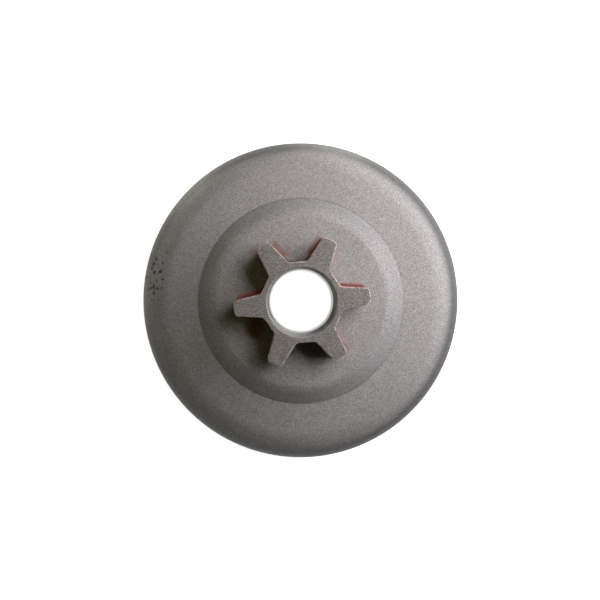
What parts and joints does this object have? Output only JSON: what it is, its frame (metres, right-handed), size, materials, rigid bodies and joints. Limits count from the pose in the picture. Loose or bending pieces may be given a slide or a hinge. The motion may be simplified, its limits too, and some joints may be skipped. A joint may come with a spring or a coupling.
{
  "type": "chainsaw clutch drum with spur sprocket",
  "caption": "Pressed steel clutch drum, open on one side, with a toothed spur sprocket brazed on its raised boss and a straight through bore for a needle bearing.",
  "frame": {"origin": "on the drum's axis, in the plane of its open rim", "axes": "+Z along the axis from the open rim towards the sprocket's free end, +X through the middle of one tooth"},
  "size_m": [0.075, 0.075, 0.0333],
  "materials": {
    "blasted_sheet_steel": "shot-blasted, fine dull grain",
    "hardened_tooth_steel": "shot-blasted, coarser grain, reddish copper wash on the flanks",
    "copper_braze": "dull oxidised copper"
  },
  "bodies": {
    "root": {"clutch_drum": "blasted_sheet_steel", "spur_sprocket": "hardened_tooth_steel", "braze_fillet": "copper_braze"}
  },
  "joints": []
}
